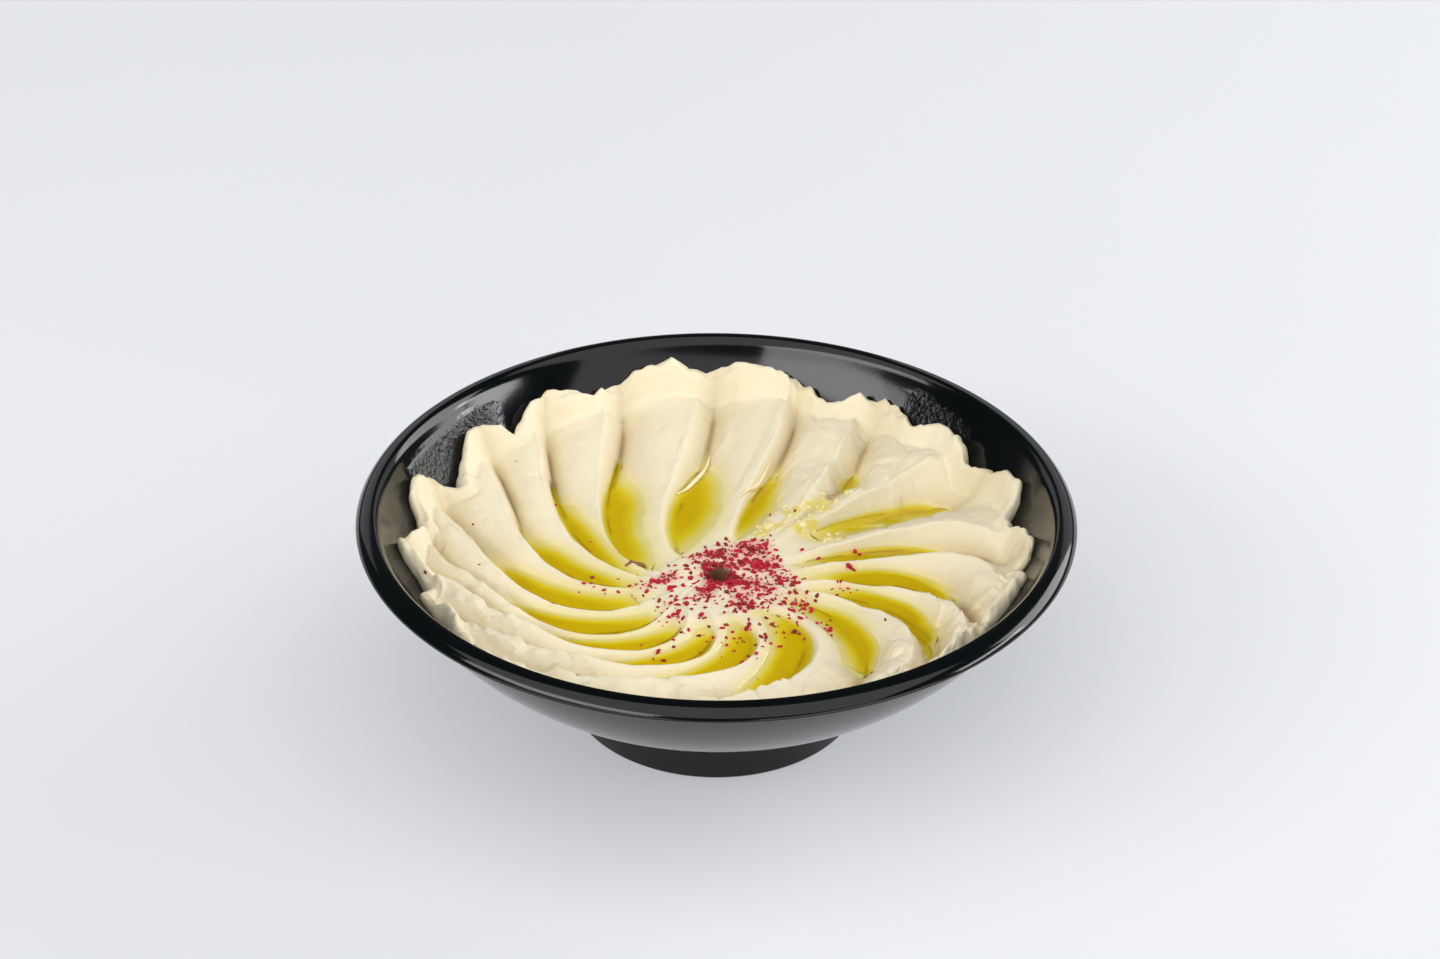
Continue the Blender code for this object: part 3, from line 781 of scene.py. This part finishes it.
def oil_depth(petal, swirl, height):
    """Depth below the oil that stands beside a place: negative above it, and -DRY away from oil."""
    depth = np.full_like(height, -DRY)
    turned = stroke_value(petal, RIDGE) > 0.5
    for stroke, row in enumerate(STROKES):
        along = smooth_step((swirl - row[OIL_START] + 7) / 5) * smooth_step((row[OIL_END] + 6 - swirl) / 6)
        below = oil_level(stroke) - height
        for beside, gentle in ((petal, turned), (petal + 1, ~turned)):
            own = (np.where(gentle, soaked(below), below) + DRY) * along - DRY
            depth = np.where(beside % PETALS == stroke, np.maximum(depth, own), depth)
    return np.clip(depth, -DRY, 5)


def stained(petal, across, swirl, x, y):
    """Spice and painted shade: the hole at the hub is dark with spice and painted shade, and the slits with
    painted shade alone.
    """
    return np.clip(smooth_step((1.5 - from_hole(x, y)) / 0.5) + slits(petal, across, swirl), 0, 1)


def dusted(x, y):
    """How thickly sumac lies at a place: the sum of a soft spot for each row of SUMAC."""
    density = np.zeros_like(x)
    for centre_x, centre_y, spread_x, spread_y, count in SUMAC:
        away = np.hypot((x - centre_x) / spread_x, (y - SUMAC_Y - centre_y) / spread_y)
        spot = np.exp(-0.5 * away ** 2)
        density = density + spot * count / (2 * np.pi * spread_x * spread_y)
    return density


# Where the sumac fell: for each patch its place from a point beside the hub, its spread in
# x and in y, all in millimetres, and the number of flakes.
SUMAC_Y = -8.4
SUMAC = (
    (8.5, 16.5, 3.4, 2.8, 62), (13, 14, 2.6, 4.0, 44), (14.5, 7, 2.8, 2.4, 64), (9, 8, 3, 4, 70),
    (0, 12.5, 3.2, 1.6, 60), (-2.6, 1.5, 1.0, 3.2, 40), (4.0, 2.5, 1.2, 3.0, 36), (0.7, 5.6, 2.2, 0.9, 30),
    (5.5, -3.5, 4.4, 1.8, 120), (-2.5, -8.8, 1.8, 2.2, 44), (7.4, -13, 1.8, 2.2, 40),
    (19, 0, 3.2, 2.6, 40), (11, -7, 5, 4, 60), (-5.5, 8, 2.8, 2.4, 30), (-12.5, 0, 1.8, 2.4, 20),
    (-15, -1.5, 2.4, 1.8, 26), (-19.5, -6, 1.8, 1.2, 8), (-11.3, -21, 2.2, 2.4, 12), (-8, -14, 6, 5, 34),
    (8, -26, 8, 6, 46), (2, -15, 7, 4, 30), (18, -8, 5, 3.5, 26), (7.4, -31, 1.2, 1.6, 6),
    (24, -12.5, 2.0, 2.4, 14), (22, -14, 6, 6, 24), (35, -4, 2.0, 1.8, 11), (37.6, 7, 0.7, 0.7, 3),
    (30, -23.4, 1.8, 1.8, 7), (26, 8, 6, 5, 10), (-2, -32, 14, 8, 24), (-30, -4, 6, 3, 12),
    (0, 0, 30, 26, 26),
)

# The grain that the spoon combs into the paste: the radius of the drum on which its noise
# lies, and how far the noise is drawn out along a stroke.
SWIRL_WIDTH = 67.0
SWIRL_STRETCH = 0.12

# Spots where a film of oil was dribbled over the paste: place from the bowl's axis and size.
FILMS = ((14, 18, 5.5), (24, 21, 6.5), (32, 30, 5.5), (39, 37, 4.5), (33, 15, 4.5), (20, 28, 3.5))


def steeped(paste, depth):
    """The paste's colour with oil over it: a pale film at the waterline, and gold where it is deep."""
    wet = mix(depth.between(-1.3, 0.5), paste, shade(242, 226, 142))
    wet = mix(depth.between(-0.4, 1.6), wet, shade(226, 203, 30))
    return mix(depth.between(1.0, 3.6), wet, shade(207, 175, 2))


def raw_paste(tree, place):
    """The paste's own pale colour, a little uneven."""
    return mix(noise(tree, place, 60.0, 4.0), shade(247, 237, 210), shade(242, 230, 198))


hummus_finish, tree, shader = new_finish(
    "hummus", IOR=1.42, Specular_IOR_Level=0.3, Subsurface_Weight=0.15, Subsurface_Scale=0.0016,
    Coat_Roughness=0.05, Coat_IOR=1.47)
shader.inputs["Subsurface Radius"].default_value = (1.0, 0.85, 0.5)
place = object_place(tree)
depth, crease, dust, spice_and_shade_mask = (attribute(tree, name) for name in ("depth", "crease", "dusted", "stained"))
combed = attribute(tree, "combed", "Vector")
flecks = noise(tree, place, 1100.0, 2.0)
# Painted shade: the paste is darkened and warmed along the creases between petals, most at their bottoms,
# where shade falls.
paste = mix(crease * 0.9, raw_paste(tree, place), shade(206, 184, 134))
paste = mix(crease.between(0.7, 1.0) * 0.55, paste, shade(162, 132, 84))
paste = steeped(paste, depth)
paste = mix(dust.between(0.05, 1.0) * 0.6, paste, shade(238, 158, 156))
powder = (dust.between(0.0, 3.2) * 1.35 + flecks * 2.6 - 1.9).between(0.0, 0.3)
paste = mix(powder * 0.8, paste, shade(206, 30, 66))
# The hole and the slits darkened: spice and painted shade in the hole, painted shade alone in the slits.
paste = mix(spice_and_shade_mask, paste, shade(104, 70, 50))
feed(shader, "Base Color", paste)
feed(shader, "Roughness", 0.48 + noise(tree, place, 300.0, 2.0) * 0.2)
feed(shader, "Coat Weight", depth.between(-0.5, 0.1) * 0.8)
streaks = noise(tree, combed, 420.0, 3.0) + noise(tree, combed, 1300.0, 2.0) * 0.35
grain = noise(tree, place, 1500.0, 3.0)
dimples = noise(tree, place, 420.0, 4.0, 0.65)
feed(shader, "Normal", bump(tree, streaks * 0.6 + grain * 0.3 + dimples * 1.3, 0.6, 0.0004))

swirl_grid = out_grid * SWIRL_RADIUS
turn = 2 * np.pi * (petal_grid + across_grid) / PETALS
drum = [SWIRL_WIDTH * np.cos(turn), SWIRL_WIDTH * np.sin(turn), SWIRL_STRETCH * swirl_grid]
combed_at = np.stack(drum, -1) * MM
from_hub = smooth_step((swirl_grid - 20) / 25)
near_edge = smooth_step((out_grid - 0.86) / 0.1)
# The share of painted crease shade: most where a petal falls into its furrow, none at the hub and half as
# much near the edge.
crease_shade_amount = (1 - crest(across_grid, swirl_grid, petal_grid)) ** 1.6 * from_hub * (1 - 0.5 * near_edge)
x, y = top[..., 0], top[..., 1]
patchy = lumps(x, y, 3.4, 31) + 0.6 * lumps(x, y, 1.6, 32)
film = sum(bell(np.hypot(x - at_x, y - at_y), 0, wide) for at_x, at_y, wide in FILMS)
film = smooth_step((film + patchy * 0.55 - 0.35) / 0.9)
marks = {
    "depth": np.maximum(oil_depth(petal_grid, swirl_grid, top[..., 2]), film * (DRY + 0.55) - DRY),
    "crease": crease_shade_amount,
    "dusted": dusted(x, y),
    "stained": stained(petal_grid, across_grid, swirl_grid, x, y),
}
hummus_mesh = ring_mesh("swirled_hummus", rings, [0, HUB_Y, top[0, :, 2].mean()], [0, 0, FLOOR_HEIGHT - 0.2])
unseen = under[0].shape[0] * len(under) + 2
for name, values in marks.items():
    store(hummus_mesh, name, np.concatenate([values.reshape(-1), np.zeros(unseen)]))
store(hummus_mesh, "combed", np.concatenate([combed_at.reshape(-1, 3), np.zeros((unseen, 3))]))
add_piece(hummus_mesh, hummus_finish, "hummus", "hummus")


# ---- Oil
# Golden olive oil stands level in each furrow and climbs a little at its edges. A thin
# film is clear, so the paste shows through it, and the deeper middle is a strong yellow.
OIL_ROWS = 64
OIL_COLUMNS = 28
OIL_BEYOND = 6
MENISCUS = 0.12
MENISCUS_REACH = 0.6
BED_FADE = 0.35
OIL_SKIN = 0.02
OIL_SINKS = 0.5
SHARP_EDGE = math.radians(35)

# A line of painted shade runs along the crease beside each furrow's bottom, under the oil: its place across
# and its width.
SHADE_LINE_AT = 0.5
SHADE_LINE_WIDTH = 0.45

oil_finish, tree, shader = new_finish(
    "olive_oil", Roughness=0.5, Specular_IOR_Level=0.0, Coat_Weight=1.0, Coat_Roughness=0.03, Coat_IOR=1.47,
    Subsurface_Weight=0.15, Subsurface_Scale=0.0016)
shader.inputs["Subsurface Radius"].default_value = (1.0, 0.85, 0.5)
steeped_paste = steeped(raw_paste(tree, object_place(tree)), attribute(tree, "depth"))
# Painted shade: the oil's colour darkens along the submerged crease.
feed(shader, "Base Color", mix(attribute(tree, "vein") * 0.6, steeped_paste, shade(142, 100, 4)))
feed(shader, "Normal", attribute(tree, "bed", "Vector"))


def furrow_side(stroke, across, out):
    """Points on the top beside a furrow, on the petal before it where across is below 0."""
    before = stroke - 1 + (PETALS if stroke == 0 else 0)
    petal = np.where(across < 0, before, stroke)
    return hummus_top(petal, np.where(across < 0, across + 1, across), out)


def add_oil(stroke):
    """A pool on a grid of rows along the furrow and columns between its two waterlines."""
    inner, outer = STROKES[stroke][OIL_START], STROKES[stroke][OIL_END]
    level = oil_level(stroke)
    ends = np.linspace(inner - OIL_BEYOND, outer + OIL_BEYOND, OIL_ROWS) / SWIRL_RADIUS
    steps = np.linspace(0, 0.8, 160)
    limits = []
    for side in (-1, 1):
        across, out = np.broadcast_arrays(side * steps[None], ends[:, None])
        dry = furrow_side(stroke, across, out)[..., 2] > level + MENISCUS * 0.6
        first = np.where(dry.any(1), dry.argmax(1), 0)
        limits.append(side * steps[first])
    wet = np.flatnonzero((limits[1] - limits[0]) > 0.02)
    wet = np.arange(wet[0], wet[-1] + 1)
    share = np.linspace(0, 1, OIL_COLUMNS)
    across = limits[0][wet, None] + (limits[1] - limits[0])[wet, None] * share
    out = np.broadcast_to(ends[wet, None], across.shape)
    ground = furrow_side(stroke, across, out)
    depth = level - ground[..., 2]
    gentle = np.where(across < 0, STROKES[stroke - 1][RIDGE] <= 0.5, STROKES[stroke][RIDGE] > 0.5)
    shown = np.where(gentle, soaked(depth), depth)
    width = out * SWIRL_RADIUS * np.radians(360 / PETALS)
    # Where the line of painted shade lies in the pool, broken into patches.
    patches = smooth_step(lumps(out * 60, across, 4.0, stroke) * 2 + 0.4)
    vein = bell(across * width, SHADE_LINE_AT, SHADE_LINE_WIDTH) * patches
    bed = np.cross(np.gradient(ground, axis=0), np.gradient(ground, axis=1))
    bed /= np.linalg.norm(bed, axis=2, keepdims=True)
    bed = bed + np.array([0, 0, 1]) * np.clip(depth, 0, None)[..., None] * BED_FADE
    surface = ground.copy()
    climb = MENISCUS * np.exp(-np.clip(depth, 0, None) / MENISCUS_REACH)
    surface[..., 2] = np.maximum(level + climb, ground[..., 2] + OIL_SKIN)
    floor = ground - [0, 0, OIL_SINKS]
    rows, columns = across.shape
    points = np.concatenate([surface.reshape(-1, 3), floor.reshape(-1, 3)]) * MM
    index = np.arange(rows * columns).reshape(rows, columns)
    quads = np.stack([index[:-1, :-1], index[1:, :-1], index[1:, 1:], index[:-1, 1:]], -1).reshape(-1, 4)
    loop = np.concatenate([index[0, :-1], index[:-1, -1], index[-1, :0:-1], index[:0:-1, 0]])
    after = np.roll(loop, -1)
    skirt = np.stack([loop, after, after + rows * columns, loop + rows * columns], -1)
    mesh = bpy.data.meshes.new(f"oil_pool_{stroke + 1:02d}")
    faces = quads.tolist() + (quads[:, ::-1] + rows * columns).tolist() + skirt.tolist()
    mesh.from_pydata(points.tolist(), [], faces)
    mesh.shade_smooth()
    mesh.set_sharp_from_angle(angle=SHARP_EDGE)
    store(mesh, "depth", np.tile(shown.reshape(-1), 2))
    store(mesh, "vein", np.tile(vein.reshape(-1), 2))
    store(mesh, "bed", np.tile(bed.reshape(-1, 3), (2, 1)))
    add_piece(mesh, oil_finish, "olive_oil", f"oil_{stroke + 1:02d}")


for stroke in range(PETALS):
    add_oil(stroke)


# ---- Sumac
# Coarse dried sumac: flat chips of berry skin, crimson where they are dry, with darker
# ones among them. Each lies on whatever is under it, paste or oil, a little askew.
FLAKE_CORNERS = 7
FLAKE_SHAPE = 6.0
FLAKE_SCALE = 0.235
FLAKE_LEAST = 0.6
FLAKE_MOST = 2.6
FLAKE_ASKEW = 0.32
DARK_SHARE = 0.36
DROPPED_FROM = 0.1

draw = np.random.default_rng(20)
spots = np.concatenate([
    draw.normal((x, y + SUMAC_Y), (wide, deep), (count, 2)) for x, y, wide, deep, count in SUMAC])
tops = [mesh_object.data for mesh_object in bpy.data.objects
        if mesh_object.name == "swirled_hummus" or mesh_object.name.startswith("oil_pool")]
corners, faces = [], []
for mesh in tops:
    faces += [[corner + len(corners) for corner in face.vertices] for face in mesh.polygons]
    corners += mesh_points(mesh).tolist()
surface = BVHTree.FromPolygons(corners, faces)


def dropped(x, y):
    """The place and the normal of what lies straight below a point, given in millimetres."""
    return surface.ray_cast(Vector((x * MM, y * MM, DROPPED_FROM)), Vector((0, 0, -1)))


def lying(normal):
    """Three axes for each thing that lies: its normal, and two across it that are turned at random."""
    normal = normal / np.linalg.norm(normal, axis=1, keepdims=True)
    side = np.cross(normal, draw.normal(0, 1, normal.shape))
    side /= np.linalg.norm(side, axis=1, keepdims=True)
    return normal, side, np.cross(normal, side)


def outline(radius, narrow, turn, side, other):
    """Corners round ovals: radius cos(turn) along one axis, narrow radius sin(turn) along the other."""
    return ((radius * np.cos(turn))[..., None] * side[:, None]
            + (radius * narrow * np.sin(turn))[..., None] * other[:, None])


def add_flakes(name, finish, hits, sizes):
    """Chips of irregular outline: a ring of corners above and below, joined into one mesh."""
    count = len(hits)
    askew = draw.normal(0, FLAKE_ASKEW, (count, 3))
    normal, side, other = lying(np.array([hit[1] for hit in hits]) + askew)
    turn = np.linspace(0, 2 * np.pi, FLAKE_CORNERS, endpoint=False)
    turn = turn + draw.uniform(-0.25, 0.25, (count, FLAKE_CORNERS))
    radius = sizes[:, None] / 2 * draw.uniform(0.65, 1.1, (count, FLAKE_CORNERS))
    narrow = draw.uniform(0.3, 0.85, (count, 1))
    thick = sizes * draw.uniform(0.14, 0.3, count)
    flat = outline(radius, narrow, turn, side, other)
    centre = np.array([hit[0] for hit in hits]) / MM + normal * (thick * 0.35)[:, None]
    rise = (normal * thick[:, None])[:, None] / 2
    curl = normal[:, None] * (draw.uniform(-0.12, 0.12, (count, FLAKE_CORNERS)) * sizes[:, None])[..., None]
    upper = centre[:, None] + flat * 0.86 + rise + curl
    lower = centre[:, None] + flat - rise + curl
    points = np.concatenate([upper, lower], 1).reshape(-1, 3) * MM
    here = np.arange(FLAKE_CORNERS)
    after = (here + 1) % FLAKE_CORNERS
    first = np.arange(count)[:, None, None] * 2 * FLAKE_CORNERS
    walls = (first + np.stack([here, here + FLAKE_CORNERS, after + FLAKE_CORNERS, after], -1)).reshape(-1, 4)
    caps = (first[:, 0] + here).tolist() + (first[:, 0] + FLAKE_CORNERS + here[::-1]).tolist()
    mesh = bpy.data.meshes.new(name)
    mesh.from_pydata(points.tolist(), [], walls.tolist() + caps)
    add_piece(mesh, finish)


landed = [hit for hit in (dropped(x, y) for x, y in spots) if hit[0] is not None]
is_dark = draw.uniform(0, 1, len(landed)) < DARK_SHARE
for name, kind, first_tone, second_tone in (
        ("sumac_crimson", False, shade(214, 34, 68), shade(172, 24, 46)),
        ("sumac_maroon", True, shade(168, 46, 42), shade(126, 38, 32))):
    finish, tree, shader = new_finish(name, Specular_IOR_Level=0.2, Roughness=0.6)
    tone = noise(tree, object_place(tree), 900.0, 2.0).between(0.3, 0.7)
    feed(shader, "Base Color", mix(tone, first_tone, second_tone))
    chosen = [hit for hit, dark in zip(landed, is_dark) if dark == kind]
    sizes = draw.gamma(FLAKE_SHAPE, FLAKE_SCALE, len(chosen)).clip(FLAKE_LEAST, FLAKE_MOST)
    add_flakes(name, finish, chosen, sizes)


# ---- Drops of oil
# Small drops of olive oil lie on the oily paste behind the hub on the right, where the oil
# was dribbled from a height. Each is a low dome that rests on whatever is under it.
BEADS = 90
BEAD_CORNERS = 8
BEAD_SHAPE = 5.0
BEAD_SCALE = 0.32
BEAD_HEIGHT = 0.2
BEAD_SPREAD = 0.42


def add_beads(name, finish, slot, hits, sizes):
    """Low domes of uneven outline, joined into one mesh: three rings of corners and two tips each."""
    count = len(hits)
    normal, side, other = lying(np.array([hit[1] for hit in hits]))
    turn = np.linspace(0, 2 * np.pi, BEAD_CORNERS, endpoint=False)
    radius = sizes[:, None] / 2 * draw.uniform(0.75, 1.15, (count, BEAD_CORNERS))
    narrow = draw.uniform(0.45, 1.0, (count, 1))
    flat = outline(radius, narrow, turn, side, other)
    middle = (np.array([hit[0] for hit in hits]) / MM)[:, None]
    up = (normal * (sizes * BEAD_HEIGHT)[:, None])[:, None]
    rings = [middle + flat - up * 0.6, middle + flat * 0.96 + up * 0.15, middle + flat * 0.62 + up * 0.75]
    points = np.concatenate([*rings, middle + up, middle - up * 0.6], 1).reshape(-1, 3) * MM
    here = np.arange(BEAD_CORNERS)
    after = (here + 1) % BEAD_CORNERS
    first = np.arange(count)[:, None, None] * (3 * BEAD_CORNERS + 2)
    quads = np.concatenate([
        np.stack([here + low, after + low, after + low + BEAD_CORNERS, here + low + BEAD_CORNERS], -1)
        for low in (0, BEAD_CORNERS)])
    end = 3 * BEAD_CORNERS
    tips = np.concatenate([
        np.stack([here + 2 * BEAD_CORNERS, after + 2 * BEAD_CORNERS, here * 0 + end], -1),
        np.stack([after, here, here * 0 + end + 1], -1)])
    faces = (first + quads).reshape(-1, 4).tolist() + (first + tips).reshape(-1, 3).tolist()
    mesh = bpy.data.meshes.new(name)
    mesh.from_pydata(points.tolist(), [], faces)
    mesh.shade_smooth()
    add_piece(mesh, finish, slot)


chosen = draw.integers(0, len(FILMS), BEADS)
film_spots = np.array(FILMS)[chosen]
film_spots = film_spots[:, :2] + draw.normal(0, BEAD_SPREAD, (BEADS, 2)) * film_spots[:, 2:]
hits = [dropped(x, y) for x, y in film_spots]
bead_finish, tree, shader = new_finish(
    "oil_beads", Roughness=0.3, Coat_Weight=1.0, Coat_Roughness=0.03, Coat_IOR=1.6)
cloud = noise(tree, object_place(tree), 200.0)
# Pale cream to yellow: partly the thin oil's own tint over the paste, partly a painted glint that lightens
# each drop.
feed(shader, "Base Color", mix(cloud, shade(250, 238, 190), shade(238, 216, 120)))
add_beads("oil_beads", bead_finish, "olive_oil", hits, draw.gamma(BEAD_SHAPE, BEAD_SCALE, BEADS))


# ---- Skins and a curl
# The spoon's edge left two thin bright skins of paste standing along the furrows behind
# the hub, and one brown curl of spice husk lies at the end of a pool on the left.
RIBBON_STEPS = 40
RIBBON_CORNERS = 10
LEVELLING = 9

# Each route is a distance from the hub and an angle at each of its points.
SKIN_ROUTES = (
    ((46.5, 105.0), (49.0, 100.6), (54.5, 96.2), (59.7, 93.4), (64.5, 92.0)),
    ((41.5, 80.8), (44.6, 78.8), (49.5, 76.6), (55.5, 75.4), (62.5, 74.8)),
)
CURL_ROUTES = (((26.5, 168.0), (25.0, 164.0), (23.0, 162.0), (21.5, 163.0), (20.5, 167.0)),)


def ribbon_points(route, half_width, half_height):
    """An oval section carried along a route over the surface and narrowed to a point at both ends."""
    at = np.linspace(0, len(route) - 1, RIBBON_STEPS)
    radius, angle = (smooth_curve(at, [(i, point[k]) for i, point in enumerate(route)]) for k in (0, 1))
    x, y = radius * np.cos(np.radians(angle)), HUB_Y + radius * np.sin(np.radians(angle))
    z = np.array([dropped(*point)[0].z for point in zip(x, y)]) / MM
    levelled = np.convolve(np.pad(z, LEVELLING // 2, "edge"), np.ones(LEVELLING) / LEVELLING, "valid")
    z = np.maximum(z, levelled) + half_height * 0.8
    middle = np.stack([x, y, z], 1)
    along = np.gradient(middle, axis=0)
    aside = np.stack([-along[:, 1], along[:, 0], 0 * x], 1)
    aside /= np.linalg.norm(aside, axis=1, keepdims=True)
    share = np.linspace(0, 1, RIBBON_STEPS)
    taper = np.sqrt(np.sin(np.pi * np.clip(share, 0.004, 0.996)))
    taper = taper * (1 + 0.3 * lumps(share * 9, share, 1.0, 41))
    turn = np.linspace(0, 2 * np.pi, RIBBON_CORNERS, endpoint=False)
    sideways = (taper * half_width)[:, None, None] * np.cos(turn)[:, None] * aside[:, None]
    upwards = (taper * half_height)[:, None, None] * np.sin(turn)[:, None] * np.array([0, 0, 1])
    return middle[:, None] + sideways + upwards


def add_ribbons(name, finish, slot, routes, half_width, half_height):
    """Ribbons joined into one mesh, each closed by one face at either end."""
    points, faces = [], []
    here = np.arange(RIBBON_CORNERS)
    after = (here + 1) % RIBBON_CORNERS
    for route in routes:
        rings = ribbon_points(route, half_width, half_height)
        first = len(points)
        row = first + np.arange(RIBBON_STEPS - 1)[:, None] * RIBBON_CORNERS
        beyond = row + RIBBON_CORNERS
        walls = np.stack([beyond + here, beyond + after, row + after, row + here], -1)
        faces += walls.reshape(-1, 4).tolist()
        last = first + (RIBBON_STEPS - 1) * RIBBON_CORNERS
        faces += [(first + here).tolist(), (last + here[::-1]).tolist()]
        points += (rings.reshape(-1, 3) * MM).tolist()
    mesh = bpy.data.meshes.new(name)
    mesh.from_pydata(points, [], faces)
    mesh.shade_smooth()
    add_piece(mesh, finish, slot)


skin_finish, tree, shader = new_finish(
    "wet_paste", Roughness=0.35, Coat_Weight=0.8, Coat_Roughness=0.05, Coat_IOR=1.47)
cloud = noise(tree, object_place(tree), 300.0)
feed(shader, "Base Color", mix(cloud, shade(252, 242, 206), shade(246, 228, 160)))
add_ribbons("paste_skins", skin_finish, "hummus", SKIN_ROUTES, half_width=0.7, half_height=0.75)
curl_finish, tree, shader = new_finish("spice_husk", Roughness=0.5)
cloud = noise(tree, object_place(tree), 500.0)
feed(shader, "Base Color", mix(cloud, shade(160, 108, 56), shade(124, 76, 40)))
add_ribbons("spice_curl", curl_finish, None, CURL_ROUTES, half_width=0.7, half_height=0.5)
